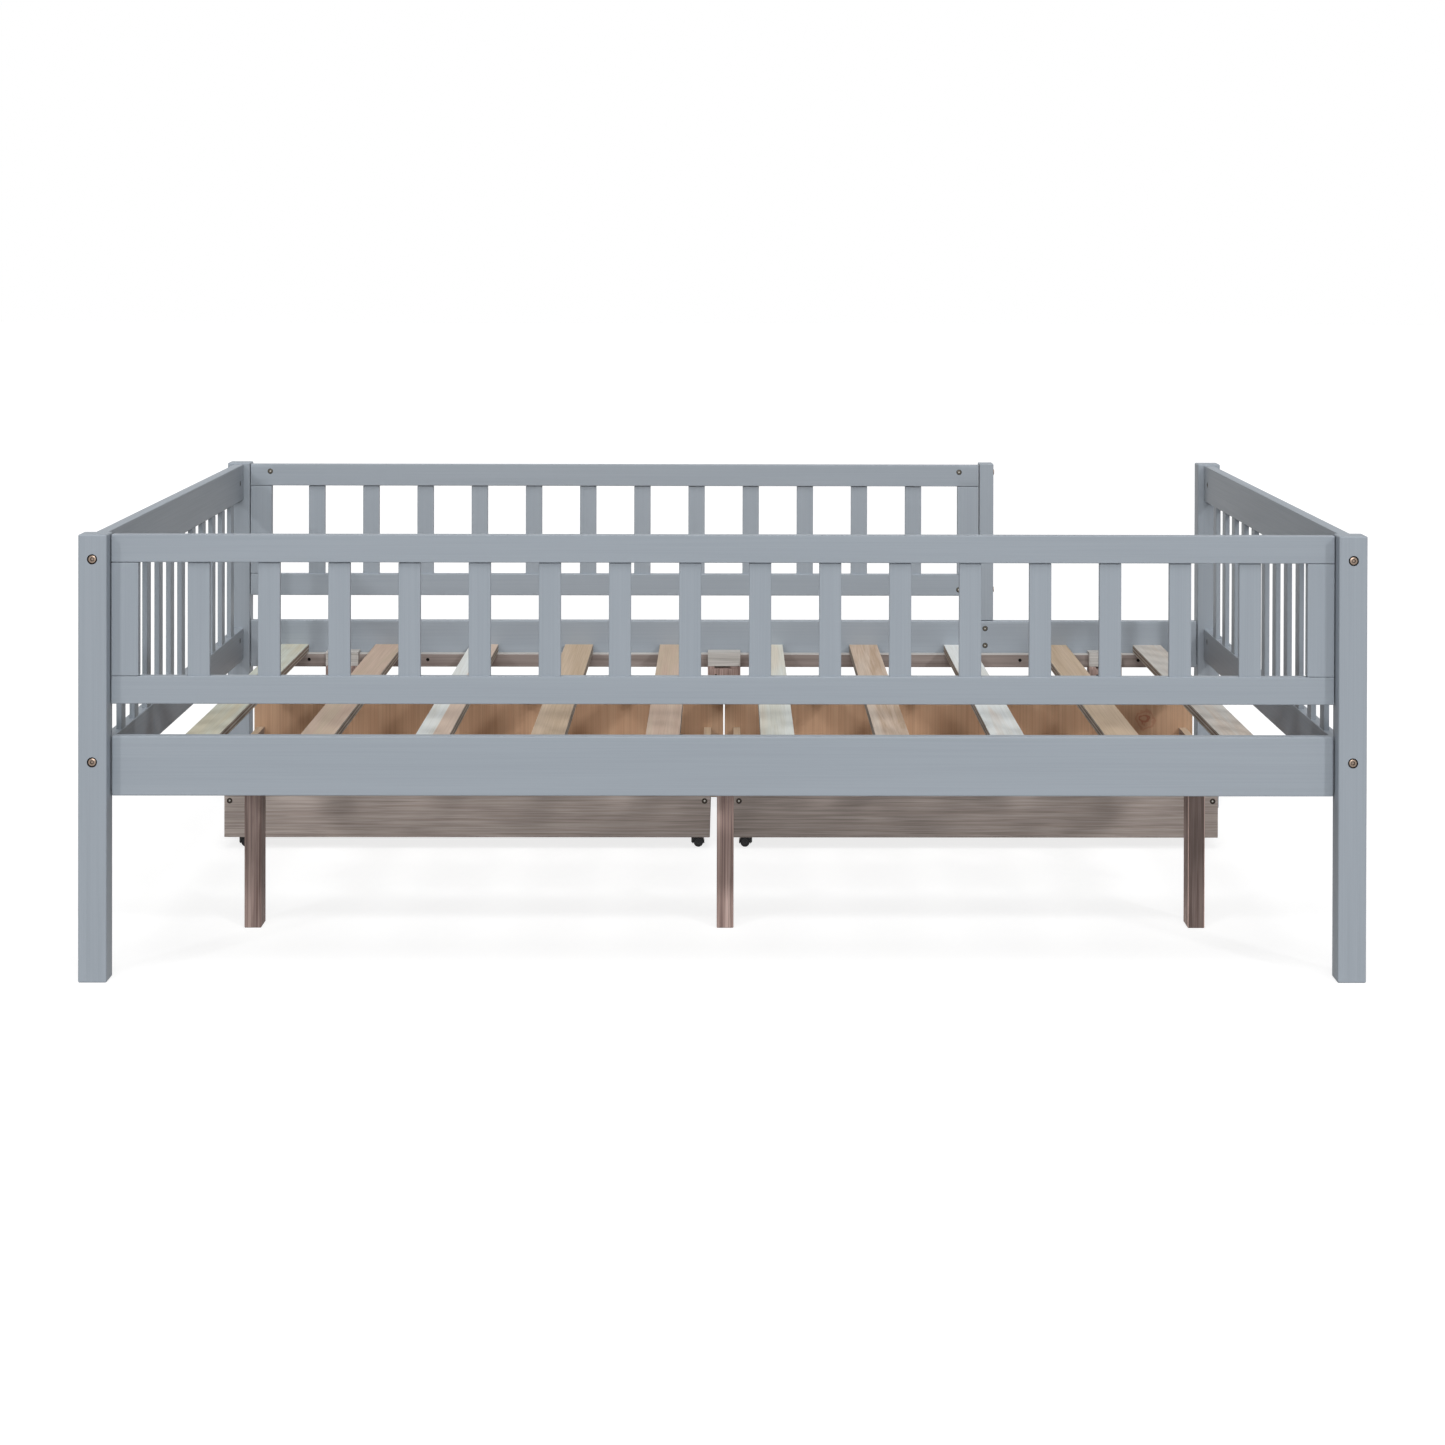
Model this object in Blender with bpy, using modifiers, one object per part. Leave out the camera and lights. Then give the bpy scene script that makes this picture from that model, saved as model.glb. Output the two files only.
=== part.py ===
"""Full-size storage daybed: four corner posts, slatted end panels and guards, hooked side rails,
loose bed slats on cleats and a legged beam, and two under-bed drawers that roll on swivel casters.

Metres, +Z up. The origin is on the floor, at the middle of the bed's outline. X runs along the length,
-Y is the back with the full-length guard, and +Y is the front, where the drawers roll out.
"""

import math

import bmesh
import bpy
from mathutils import Matrix, Vector

# Driving sizes of the frame
LENGTH = 2.019
DEPTH = 1.448
HEIGHT = 0.702
POST_SIDE = 0.045
POST_EDGE = 0.003
FACE_SETBACK = 0.026
FIT = 0.0003

# Guards along the back and the front
GUARD_THICK = 0.019
GUARD_RAIL_TALL = 0.0435
GUARD_TOP_DROP = 0.0025
GUARD_LOWER_TOP = 0.4765
BACK_SLAT_WIDE = 0.0350
FRONT_SLAT_WIDE = 0.0333
GUARD_SLAT_THICK = 0.010
BACK_SLAT_MARGIN = 0.0743
BACK_SLAT_SHIFT = 0.002
FRONT_SLAT_MARGIN = 0.0740
FRONT_SLAT_SHIFT = 0.0006
STILE_WIDE = 0.044
STILE_INSET = 0.0003
BACK_SLATS = 16
FRONT_SLATS = 12
FRONT_GUARD_LENGTH = 1.483
SHORT_POST_WIDE = 0.029

# End panels
END_RAIL_THICK = 0.019
END_TOP_DROP = 0.003
END_TOP_TALL = 0.072
END_LOWER_TOP = 0.366
END_LOWER_TALL = 0.064
END_SLATS = 11
END_SLAT_WIDE = 0.033
END_SLAT_THICK = 0.009
END_SLAT_INSET = 0.004
END_BACK_MARGIN = 0.140
END_FRONT_MARGIN = 0.110

# Side rails, their hook plates and cleats
RAIL_THICK = 0.022
RAIL_TOP = 0.382
RAIL_TALL = 0.0937
HOOK_PLATE_THICK = 0.0022
HOOK_PLATE_WIDE = 0.012
HOOK_PLATE_MARGIN = 0.006
HOOK_SLOT_WIDE = 0.004
HOOK_SLOT_DEEP = 0.010
HOOK_SLOT_ABOVE = 0.008
HOOK_SLOT_BELOW = 0.003
CLEAT_DEEP = 0.025
CLEAT_TALL = 0.026
CLEAT_END_GAP = 0.030

# Bed slats, the beam under them and its legs
SLAT_COUNT = 10
SLAT_WIDE = 0.057
SLAT_THICK = 0.016
SLAT_END_GAP = 0.0393
SLAT_SHIFT = -0.006
SLAT_TOP = 0.334
BEAM_DEEP = 0.038
BEAM_TALL = 0.060
LEG_WIDE = 0.0285
LEG_DEEP = 0.049
LEG_BACK_FACE = 0.366
LEG_END_GAP = 0.1533
LEG_SHIFT = 0.003
BLOCK_WIDE = 0.066
BLOCK_LIP = 0.012
BLOCK_TOP = 0.3235
BLOCK_TALL = 0.0735
BLOCK_END_GAP = 0.1595

# Drawers
DRAWER_POST_GAP = 0.009
DRAWER_FRONT_TOP = 0.262
DRAWER_FRONT_THICK = 0.018
DRAWER_MEET_GAP = 0.003
DRAWER_LIFT = 0.022
DRAWER_BOX_INSET = 0.0155
DRAWER_BOX_SHIFT = 0.0055
DRAWER_BOX_DRIFT = -0.0037
DRAWER_DEEP = 0.418
DRAWER_SIDE_TOP = 0.165
DRAWER_BOARD = 0.0145
DRAWER_BOTTOM_THICK = 0.012

# Casters
WHEEL_RADIUS = 0.0090
WHEEL_WIDE = 0.0065
WHEEL_HUB_RADIUS = 0.0028
WHEEL_RIM_WIDE = 0.0020
WHEEL_DISH = 0.0010
WHEEL_EDGE = 0.0007
HOOD_WEB = 0.0030
WHEEL_SIDE_GAP = 0.0005
HOOD_INNER_RADIUS = 0.0098
HOOD_OUTER_RADIUS = 0.0115
HOOD_OVERHANG = 0.0004
HOOD_SKIRT_HEIGHT = 0.0068
AXLE_RADIUS = 0.0016
CASTER_HEIGHT = 0.0320
CASTER_TRAIL = 0.0080
NECK_RADIUS = 0.0057
NECK_FOOT = 0.0075
RACE_RADIUS = 0.0080
RACE_THICK = 0.0030
STEM_RADIUS = 0.0040
STEM_LONG = 0.0080
STEM_END_GAP = 0.0004
RUNNING_CLEARANCE = 0.00008
ROUND_STEPS = 24
CASTER_INSET_X = 0.030
CASTER_INSET_Y = 0.028

# Small edge roundings
BOARD_EDGE = 0.0015
SLAT_EDGE = 0.0010
JOINT_SINK = 0.006

# Places that follow from the sizes above
half_length = LENGTH / 2
half_depth = DEPTH / 2
post_inner_x = half_length - POST_SIDE
post_inner_y = half_depth - POST_SIDE
face_y = half_depth - FACE_SETBACK
guard_inner_y = face_y - GUARD_THICK
guard_mid_y = face_y - GUARD_THICK / 2
guard_end_x = post_inner_x - FIT
guard_top = HEIGHT - GUARD_TOP_DROP
guard_lower_bottom = GUARD_LOWER_TOP - GUARD_RAIL_TALL
guard_top_bottom = guard_top - GUARD_RAIL_TALL
end_mid_x = half_length - POST_SIDE / 2
end_end_y = post_inner_y - FIT
end_top = HEIGHT - END_TOP_DROP
end_lower_bottom = END_LOWER_TOP - END_LOWER_TALL
end_top_bottom = end_top - END_TOP_TALL
rail_inner_y = face_y - RAIL_THICK
rail_mid_y = face_y - RAIL_THICK / 2
rail_bottom = RAIL_TOP - RAIL_TALL
rail_end_x = post_inner_x - FIT - HOOK_PLATE_THICK
slat_bottom = SLAT_TOP - SLAT_THICK
cleat_top = slat_bottom - FIT
cleat_inner_y = rail_inner_y - FIT - CLEAT_DEEP
leg_mid_y = -half_depth + LEG_BACK_FACE + LEG_DEEP / 2
beam_top = slat_bottom - FIT
beam_bottom = beam_top - BEAM_TALL
front_guard_end = -post_inner_x + FRONT_GUARD_LENGTH
cleat_end_x = post_inner_x - CLEAT_END_GAP
slat_reach_x = cleat_end_x - SLAT_END_GAP - SLAT_WIDE / 2
leg_spacing = post_inner_x - LEG_END_GAP - LEG_WIDE / 2
block_spacing = post_inner_x - BLOCK_END_GAP - BLOCK_WIDE / 2
drawer_front_inner = face_y - DRAWER_FRONT_THICK
drawer_back_outer = face_y - DRAWER_DEEP
drawer_front_wide = post_inner_x - DRAWER_POST_GAP - DRAWER_MEET_GAP / 2
drawer_box_wide = drawer_front_wide - 2 * DRAWER_BOX_INSET
drawer_mid_x = drawer_front_wide / 2 + DRAWER_MEET_GAP / 2
drawer_box_x = drawer_mid_x + DRAWER_BOX_SHIFT
drawer_bottom_low = CASTER_HEIGHT + FIT
wheel_inner = HOOD_WEB / 2 + WHEEL_SIDE_GAP
wheel_outer = wheel_inner + WHEEL_WIDE

parts = None
helpers = None
materials = {}


def clear_scene():
    for old in list(bpy.data.objects):
        bpy.data.objects.remove(old)


def make_collections():
    global parts, helpers
    parts = bpy.data.collections.new("storage_daybed")
    helpers = bpy.data.collections.new("daybed_cutters")
    for group in (parts, helpers):
        bpy.context.scene.collection.children.link(group)


def make_material(name, colour, roughness, metallic=0.0):
    material = bpy.data.materials.new(name)
    material.use_nodes = True
    shader = material.node_tree.nodes["Principled BSDF"]
    shader.inputs["Base Color"].default_value = (*colour, 1.0)
    shader.inputs["Roughness"].default_value = roughness
    shader.inputs["Metallic"].default_value = metallic
    materials[name] = material


def make_materials():
    make_material("grey_paint", (0.33, 0.37, 0.41), 0.55)
    make_material("pale_plywood", (0.58, 0.54, 0.42), 0.65)
    make_material("brown_wood", (0.17, 0.12, 0.10), 0.65)
    make_material("drawer_tan", (0.36, 0.22, 0.13), 0.60)
    make_material("drawer_board", (0.28, 0.25, 0.22), 0.60)
    make_material("black_nylon", (0.010, 0.010, 0.010), 0.45)


def link_object(name, mesh, material, group):
    piece = bpy.data.objects.new(name, mesh)
    group.objects.link(piece)
    if material is not None and not mesh.materials:
        mesh.materials.append(materials[material])
    if group is helpers:
        piece.hide_render = True
        piece.display_type = "WIRE"
    return piece


def add_bar(bm, low, high, edge=0.0):
    """Adds a square-cornered bar, with its edges eased when edge is above zero."""
    size = Vector(high) - Vector(low)
    middle = (Vector(high) + Vector(low)) / 2
    place = Matrix.Translation(middle) @ Matrix.Diagonal((*size, 1.0))
    made = bmesh.ops.create_cube(bm, size=1.0, matrix=place)
    if edge > 0.0:
        edges = {e for v in made["verts"] for e in v.link_edges}
        bmesh.ops.bevel(bm, geom=list(edges), offset=edge, segments=1, affect="EDGES", profile=0.5)


def bars_object(name, bars, edge, group, material=None):
    """One object that holds every bar of a list of (low, high) corners, in world places."""
    bm = bmesh.new()
    for low, high in bars:
        add_bar(bm, low, high, edge)
    mesh = bpy.data.meshes.new(name)
    bm.to_mesh(mesh)
    bm.free()
    return link_object(name, mesh, material, group)


def board(name, low, high, material, edge=BOARD_EDGE, segments=1):
    """A straight board whose object stands at its middle, with a Bevel for its eased edges."""
    size = Vector(high) - Vector(low)
    bm = bmesh.new()
    bmesh.ops.create_cube(bm, size=1.0, matrix=Matrix.Diagonal((*size, 1.0)))
    mesh = bpy.data.meshes.new(name)
    bm.to_mesh(mesh)
    bm.free()
    piece = link_object(name, mesh, material, parts)
    piece.location = (Vector(high) + Vector(low)) / 2
    bevel = piece.modifiers.new("eased_edges", "BEVEL")
    bevel.width = edge
    bevel.segments = segments
    return piece


def boolean(piece, other, operation):
    modifier = piece.modifiers.new(other.name, "BOOLEAN")
    modifier.operation = operation
    modifier.object = other
    modifier.solver = "EXACT"


def cylinder_mesh(bm, radius, depth, segments, place):
    bmesh.ops.create_cone(
        bm, cap_ends=True, segments=segments, radius1=radius, radius2=radius, depth=depth, matrix=place
    )


def make_posts():
    """Four square corner posts, each with the routed slot that its side rail's plate hooks into."""
    for side_y, front in ((-1, "back"), (1, "front")):
        for side_x, hand in ((-1, "left"), (1, "right")):
            name = f"post_{front}_{hand}"
            x0, x1 = sorted((side_x * post_inner_x, side_x * half_length))
            y0, y1 = sorted((side_y * post_inner_y, side_y * half_depth))
            post = board(name, (x0, y0, 0.0), (x1, y1, HEIGHT), "grey_paint", POST_EDGE, 2)
            slot_x = sorted((side_x * (post_inner_x + HOOK_SLOT_DEEP), side_x * (post_inner_x - POST_EDGE)))
            slot_y = side_y * rail_mid_y
            slot = bars_object(
                f"slot_{front}_{hand}",
                [(
                    (slot_x[0], slot_y - HOOK_SLOT_WIDE / 2, rail_bottom - HOOK_SLOT_BELOW),
                    (slot_x[1], slot_y + HOOK_SLOT_WIDE / 2, RAIL_TOP + HOOK_SLOT_ABOVE),
                )],
                0.0,
                helpers,
            )
            boolean(post, slot, "DIFFERENCE")


def guard_bars(start_x, end_x, count, slat_wide, margin, shift, side_y):
    """The stiles and slats of a guard, standing in its lower rail and stopping under its top rail."""
    top = guard_top_bottom - FIT
    foot = GUARD_LOWER_TOP - JOINT_SINK
    first = start_x + STILE_WIDE + margin + shift + slat_wide / 2
    last = end_x - STILE_WIDE - margin + shift - slat_wide / 2
    bars = []
    for x0, x1 in (
        (start_x + STILE_INSET, start_x + STILE_WIDE),
        (end_x - STILE_WIDE, end_x - STILE_INSET),
    ):
        half = GUARD_THICK / 2 - STILE_INSET
        bars.append(((x0, side_y * guard_mid_y - half, foot), (x1, side_y * guard_mid_y + half, top)))
    for i in range(count):
        x = first + (last - first) * i / (count - 1)
        half = GUARD_SLAT_THICK / 2
        low = (x - slat_wide / 2, side_y * guard_mid_y - half, foot)
        high = (x + slat_wide / 2, side_y * guard_mid_y + half, top)
        bars.append((low, high))
    return bars


def make_guard(name, start_x, end_x, count, slat_wide, margin, shift, side_y):
    y0, y1 = sorted((side_y * guard_inner_y, side_y * face_y))
    board(
        f"{name}_top_rail", (start_x, y0, guard_top_bottom), (end_x, y1, guard_top), "grey_paint"
    )
    panel = board(
        f"{name}_slat_panel",
        (start_x, y0, guard_lower_bottom),
        (end_x, y1, GUARD_LOWER_TOP),
        "grey_paint",
    )
    bars = guard_bars(start_x, end_x, count, slat_wide, margin, shift, side_y)
    boolean(panel, bars_object(f"{name}_bars", bars, SLAT_EDGE, helpers), "UNION")


def make_short_post():
    """Closes the front guard at the entry gap. It stands on the side rail and laps over its outer face."""
    x0 = front_guard_end + FIT
    x1 = x0 + SHORT_POST_WIDE
    post = board(
        "front_guard_short_post",
        (x0, guard_inner_y, rail_bottom),
        (x1, half_depth, HEIGHT),
        "grey_paint",
        BOARD_EDGE,
        2,
    )
    seat = bars_object(
        "short_post_seat",
        [(
            (x0 - POST_SIDE, guard_inner_y - POST_SIDE, rail_bottom - POST_SIDE),
            (x1 + POST_SIDE, face_y + FIT, RAIL_TOP + FIT),
        )],
        0.0,
        helpers,
    )
    boolean(post, seat, "DIFFERENCE")


def make_ends():
    """The two end panels: a deep top rail over a lower rail with its standing slats."""
    for side, hand in ((-1, "left"), (1, "right")):
        middle = side * end_mid_x
        x0, x1 = middle - END_RAIL_THICK / 2, middle + END_RAIL_THICK / 2
        board(
            f"end_{hand}_top_rail",
            (x0, -end_end_y, end_top_bottom),
            (x1, end_end_y, end_top),
            "grey_paint",
        )
        panel = board(
            f"end_{hand}_slat_panel",
            (x0, -end_end_y, end_lower_bottom),
            (x1, end_end_y, END_LOWER_TOP),
            "grey_paint",
        )
        first = -end_end_y + END_BACK_MARGIN + END_SLAT_WIDE / 2
        last = end_end_y - END_FRONT_MARGIN - END_SLAT_WIDE / 2
        bars = []
        for i in range(END_SLATS):
            x = middle - side * END_SLAT_INSET
            y = first + (last - first) * i / (END_SLATS - 1)
            low = (x - END_SLAT_THICK / 2, y - END_SLAT_WIDE / 2, END_LOWER_TOP - JOINT_SINK)
            high = (x + END_SLAT_THICK / 2, y + END_SLAT_WIDE / 2, end_top_bottom - FIT)
            bars.append((low, high))
        boolean(panel, bars_object(f"end_{hand}_bars", bars, SLAT_EDGE, helpers), "UNION")


def make_side_rails():
    """Side rails with the hook plates let into their ends, and the cleats that carry the bed slats."""
    for side, front in ((-1, "back"), (1, "front")):
        y0, y1 = sorted((side * rail_inner_y, side * face_y))
        rail = board(
            f"side_rail_{front}", (-rail_end_x, y0, rail_bottom), (rail_end_x, y1, RAIL_TOP), "grey_paint"
        )
        plates = []
        for hand in (-1, 1):
            plate_x = sorted((hand * (rail_end_x - JOINT_SINK), hand * (rail_end_x + HOOK_PLATE_THICK)))
            low = (plate_x[0], side * rail_mid_y - HOOK_PLATE_WIDE / 2, rail_bottom + HOOK_PLATE_MARGIN)
            high = (plate_x[1], side * rail_mid_y + HOOK_PLATE_WIDE / 2, RAIL_TOP - HOOK_PLATE_MARGIN)
            plates.append((low, high))
        boolean(rail, bars_object(f"hook_plates_{front}", plates, 0.0, helpers), "UNION")
        c0, c1 = sorted((side * (rail_inner_y - FIT), side * cleat_inner_y))
        board(
            f"cleat_{front}",
            (-cleat_end_x, c0, cleat_top - CLEAT_TALL),
            (cleat_end_x, c1, cleat_top),
            "brown_wood",
        )


def make_bed_slats():
    reach = rail_inner_y - FIT
    for i in range(SLAT_COUNT):
        x = SLAT_SHIFT + (2 * i / (SLAT_COUNT - 1) - 1) * slat_reach_x
        board(
            f"bed_slat_{i + 1:02d}",
            (x - SLAT_WIDE / 2, -reach, slat_bottom),
            (x + SLAT_WIDE / 2, reach, SLAT_TOP),
            "pale_plywood",
            SLAT_EDGE,
        )


def make_supports():
    """The beam under the bed slats with its three legs, and the three blocks behind the front rail."""
    beam_end = end_mid_x - END_RAIL_THICK / 2 - FIT
    board(
        "support_beam",
        (-beam_end, leg_mid_y - BEAM_DEEP / 2, beam_bottom),
        (beam_end, leg_mid_y + BEAM_DEEP / 2, beam_top),
        "brown_wood",
    )
    for i, hand in enumerate(("left", "middle", "right")):
        x = LEG_SHIFT + (i - 1) * leg_spacing
        board(
            f"support_leg_{hand}",
            (x - LEG_WIDE / 2, leg_mid_y - LEG_DEEP / 2, 0.0),
            (x + LEG_WIDE / 2, leg_mid_y + LEG_DEEP / 2, beam_bottom - FIT),
            "brown_wood",
        )
        x = (i - 1) * block_spacing
        reach = rail_inner_y - FIT
        block = board(
            f"bearer_block_{hand}",
            (x - BLOCK_WIDE / 2, cleat_inner_y - BLOCK_LIP, BLOCK_TOP - BLOCK_TALL),
            (x + BLOCK_WIDE / 2, reach, BLOCK_TOP),
            "brown_wood",
        )
        notch = bars_object(
            f"block_notch_{hand}",
            [(
                (x - BLOCK_WIDE, cleat_inner_y - FIT, cleat_top - CLEAT_TALL - FIT),
                (x + BLOCK_WIDE, reach + CLEAT_DEEP, cleat_top + FIT),
            )],
            0.0,
            helpers,
        )
        boolean(block, notch, "DIFFERENCE")


def hood_mesh():
    """The caster's black hood: a rounded fender over both wheels, the web between them, and its stem.

    It is built with the swivel axis at the origin, the floor at z = 0 and the axle along Y.
    """
    along_y = Matrix.Rotation(math.radians(90), 4, "X")
    axle_place = Matrix.Translation((CASTER_TRAIL, 0.0, WHEEL_RADIUS)) @ along_y
    fender_wide = 2 * (wheel_outer + HOOD_OVERHANG)
    bm = bmesh.new()
    cylinder_mesh(bm, HOOD_OUTER_RADIUS, fender_wide, ROUND_STEPS, axle_place)
    whole = bm.verts[:] + bm.edges[:] + bm.faces[:]
    cut = bmesh.ops.bisect_plane(
        bm, geom=whole, plane_co=(0.0, 0.0, HOOD_SKIRT_HEIGHT), plane_no=(0.0, 0.0, 1.0), clear_inner=True
    )
    rim = [e for e in cut["geom_cut"] if isinstance(e, bmesh.types.BMEdge)]
    bmesh.ops.edgeloop_fill(bm, edges=rim)
    bmesh.ops.recalc_face_normals(bm, faces=bm.faces[:])
    mesh = bpy.data.meshes.new("hood_blank")
    bm.to_mesh(mesh)
    bm.free()
    blank = link_object("hood_blank", mesh, "black_nylon", helpers)

    bm = bmesh.new()
    neck_high = CASTER_HEIGHT - RACE_THICK / 2
    neck_mid = Matrix.Translation((0.0, 0.0, (NECK_FOOT + neck_high) / 2))
    cylinder_mesh(bm, NECK_RADIUS, neck_high - NECK_FOOT, ROUND_STEPS, neck_mid)
    neck = bpy.data.meshes.new("hood_neck")
    bm.to_mesh(neck)
    bm.free()
    boolean(blank, link_object("hood_neck", neck, None, helpers), "UNION")

    bm = bmesh.new()
    race_mid = Matrix.Translation((0.0, 0.0, CASTER_HEIGHT - RACE_THICK / 2))
    cylinder_mesh(bm, RACE_RADIUS, RACE_THICK, ROUND_STEPS, race_mid)
    race = bpy.data.meshes.new("hood_race")
    bm.to_mesh(race)
    bm.free()
    boolean(blank, link_object("hood_race", race, None, helpers), "UNION")

    bm = bmesh.new()
    stem_low = CASTER_HEIGHT - RACE_THICK / 2
    stem_high = CASTER_HEIGHT + STEM_LONG
    stem_mid = Matrix.Translation((0.0, 0.0, (stem_low + stem_high) / 2))
    cylinder_mesh(bm, STEM_RADIUS, stem_high - stem_low, ROUND_STEPS, stem_mid)
    stem = bpy.data.meshes.new("hood_stem")
    bm.to_mesh(stem)
    bm.free()
    boolean(blank, link_object("hood_stem", stem, None, helpers), "UNION")

    bm = bmesh.new()
    pocket_deep = WHEEL_WIDE * 2
    for side in (-1, 1):
        pocket_mid = side * (HOOD_WEB / 2 + pocket_deep / 2)
        place = Matrix.Translation((CASTER_TRAIL, pocket_mid, WHEEL_RADIUS)) @ along_y
        cylinder_mesh(bm, HOOD_INNER_RADIUS, pocket_deep, ROUND_STEPS, place)
    pockets = bpy.data.meshes.new("hood_pockets")
    bm.to_mesh(pockets)
    bm.free()
    boolean(blank, link_object("hood_pockets", pockets, None, helpers), "DIFFERENCE")

    bm = bmesh.new()
    cylinder_mesh(bm, AXLE_RADIUS + RUNNING_CLEARANCE, HOOD_WEB * 3, ROUND_STEPS, axle_place)
    bore = bpy.data.meshes.new("hood_bore")
    bm.to_mesh(bore)
    bm.free()
    boolean(blank, link_object("hood_bore", bore, None, helpers), "DIFFERENCE")

    graph = bpy.context.evaluated_depsgraph_get()
    made = bpy.data.meshes.new_from_object(blank.evaluated_get(graph))
    made.name = "caster_hood"
    made.materials.clear()
    made.materials.append(materials["black_nylon"])
    made.shade_smooth()
    made.set_sharp_from_angle(angle=math.radians(35))
    return made


def wheel_outline():
    """Radius and place along the axle, from one outer face round both wheels to the other."""
    rim = WHEEL_RADIUS - WHEEL_RIM_WIDE
    dish_floor = wheel_outer - WHEEL_DISH
    half = [
        (0.0, wheel_outer),
        (WHEEL_HUB_RADIUS, wheel_outer),
        (WHEEL_HUB_RADIUS + WHEEL_DISH / 2, dish_floor),
        (rim - WHEEL_DISH / 2, dish_floor),
        (rim, wheel_outer),
        (WHEEL_RADIUS - WHEEL_EDGE, wheel_outer),
        (WHEEL_RADIUS, wheel_outer - WHEEL_EDGE),
        (WHEEL_RADIUS, wheel_inner + WHEEL_EDGE),
        (WHEEL_RADIUS - WHEEL_EDGE, wheel_inner),
        (AXLE_RADIUS, wheel_inner),
    ]
    return half + [(radius, -place) for radius, place in reversed(half)]


def wheelset_mesh():
    """Both wheels and the axle that joins them, turned about the local Z axis."""
    bm = bmesh.new()
    points = [bm.verts.new((radius, 0.0, place)) for radius, place in wheel_outline()]
    for first, second in zip(points, points[1:]):
        bm.edges.new((first, second))
    mesh = bpy.data.meshes.new("wheel_profile")
    bm.to_mesh(mesh)
    bm.free()
    profile = link_object("wheel_profile", mesh, None, helpers)
    screw = profile.modifiers.new("turned", "SCREW")
    screw.steps = ROUND_STEPS
    screw.render_steps = ROUND_STEPS
    screw.use_merge_vertices = True
    screw.merge_threshold = 0.00005
    graph = bpy.context.evaluated_depsgraph_get()
    made = bpy.data.meshes.new_from_object(profile.evaluated_get(graph))
    made.name = "caster_wheels"
    made.materials.clear()
    made.materials.append(materials["black_nylon"])
    made.shade_smooth()
    made.set_sharp_from_angle(angle=math.radians(35))
    return made


def caster_places(hand):
    """Name and swivel axis of the four casters under one drawer."""
    middle = hand * drawer_box_x + DRAWER_BOX_DRIFT
    reach_x = drawer_box_wide / 2 - CASTER_INSET_X
    back_y = drawer_back_outer + CASTER_INSET_Y
    front_y = drawer_front_inner - CASTER_INSET_Y
    return [
        ("back_left", middle - reach_x, back_y),
        ("back_right", middle + reach_x, back_y),
        ("front_left", middle - reach_x, front_y),
        ("front_right", middle + reach_x, front_y),
    ]


def make_drawer(hand, name, hood, wheels):
    """One drawer: a tall front on a shallower box, with a swivel caster near each corner."""
    front = hand * drawer_mid_x
    middle = hand * drawer_box_x + DRAWER_BOX_DRIFT
    half_box = drawer_box_wide / 2
    board(
        f"{name}_front",
        (front - drawer_front_wide / 2, drawer_front_inner, DRAWER_LIFT),
        (front + drawer_front_wide / 2, face_y, DRAWER_FRONT_TOP),
        "drawer_tan",
    )
    board(
        f"{name}_back",
        (middle - half_box, drawer_back_outer, DRAWER_LIFT),
        (middle + half_box, drawer_back_outer + DRAWER_BOARD, DRAWER_SIDE_TOP),
        "drawer_board",
    )
    side_low = drawer_back_outer + DRAWER_BOARD + FIT
    side_high = drawer_front_inner - FIT
    for side, label in ((-1, "left"), (1, "right")):
        x0, x1 = sorted((middle + side * half_box, middle + side * (half_box - DRAWER_BOARD)))
        board(
            f"{name}_side_{label}",
            (x0, side_low, DRAWER_LIFT),
            (x1, side_high, DRAWER_SIDE_TOP),
            "drawer_board",
        )
    panel = half_box - DRAWER_BOARD - FIT
    bottom = board(
        f"{name}_bottom",
        (middle - panel, side_low, drawer_bottom_low),
        (middle + panel, side_high, drawer_bottom_low + DRAWER_BOTTOM_THICK),
        "drawer_board",
    )
    bm = bmesh.new()
    bore_low = drawer_bottom_low - DRAWER_BOTTOM_THICK
    bore_high = CASTER_HEIGHT + STEM_LONG + STEM_END_GAP
    for _, x, y in caster_places(hand):
        place = Matrix.Translation((x, y, (bore_low + bore_high) / 2))
        cylinder_mesh(bm, STEM_RADIUS + RUNNING_CLEARANCE, bore_high - bore_low, ROUND_STEPS, place)
    bores = bpy.data.meshes.new(f"{name}_stem_bores")
    bm.to_mesh(bores)
    bm.free()
    boolean(bottom, link_object(f"{name}_stem_bores", bores, None, helpers), "DIFFERENCE")

    for corner, x, y in caster_places(hand):
        swivel = bpy.data.objects.new(f"{name}_{corner}_swivel_axis", None)
        parts.objects.link(swivel)
        swivel.location = (x, y, 0.0)
        swivel.rotation_euler = (0.0, 0.0, math.radians(180) if hand > 0 else 0.0)
        cap = link_object(f"{name}_{corner}_hood", hood, None, parts)
        cap.parent = swivel
        pair = link_object(f"{name}_{corner}_wheels", wheels, None, parts)
        pair.parent = swivel
        pair.location = (CASTER_TRAIL, 0.0, WHEEL_RADIUS)
        pair.rotation_euler = (math.radians(90), 0.0, 0.0)


def main():
    clear_scene()
    make_collections()
    make_materials()
    make_posts()
    make_guard(
        "back_guard", -guard_end_x, guard_end_x,
        BACK_SLATS, BACK_SLAT_WIDE, BACK_SLAT_MARGIN, BACK_SLAT_SHIFT, -1,
    )
    make_guard(
        "front_guard", -guard_end_x, front_guard_end,
        FRONT_SLATS, FRONT_SLAT_WIDE, FRONT_SLAT_MARGIN, FRONT_SLAT_SHIFT, 1,
    )
    make_short_post()
    make_ends()
    make_side_rails()
    make_bed_slats()
    make_supports()
    hood = hood_mesh()
    wheels = wheelset_mesh()
    make_drawer(-1, "drawer_left", hood, wheels)
    make_drawer(1, "drawer_right", hood, wheels)


main()
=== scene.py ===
import math
import random

import bmesh
import bpy
from mathutils import Matrix, Vector


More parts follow.
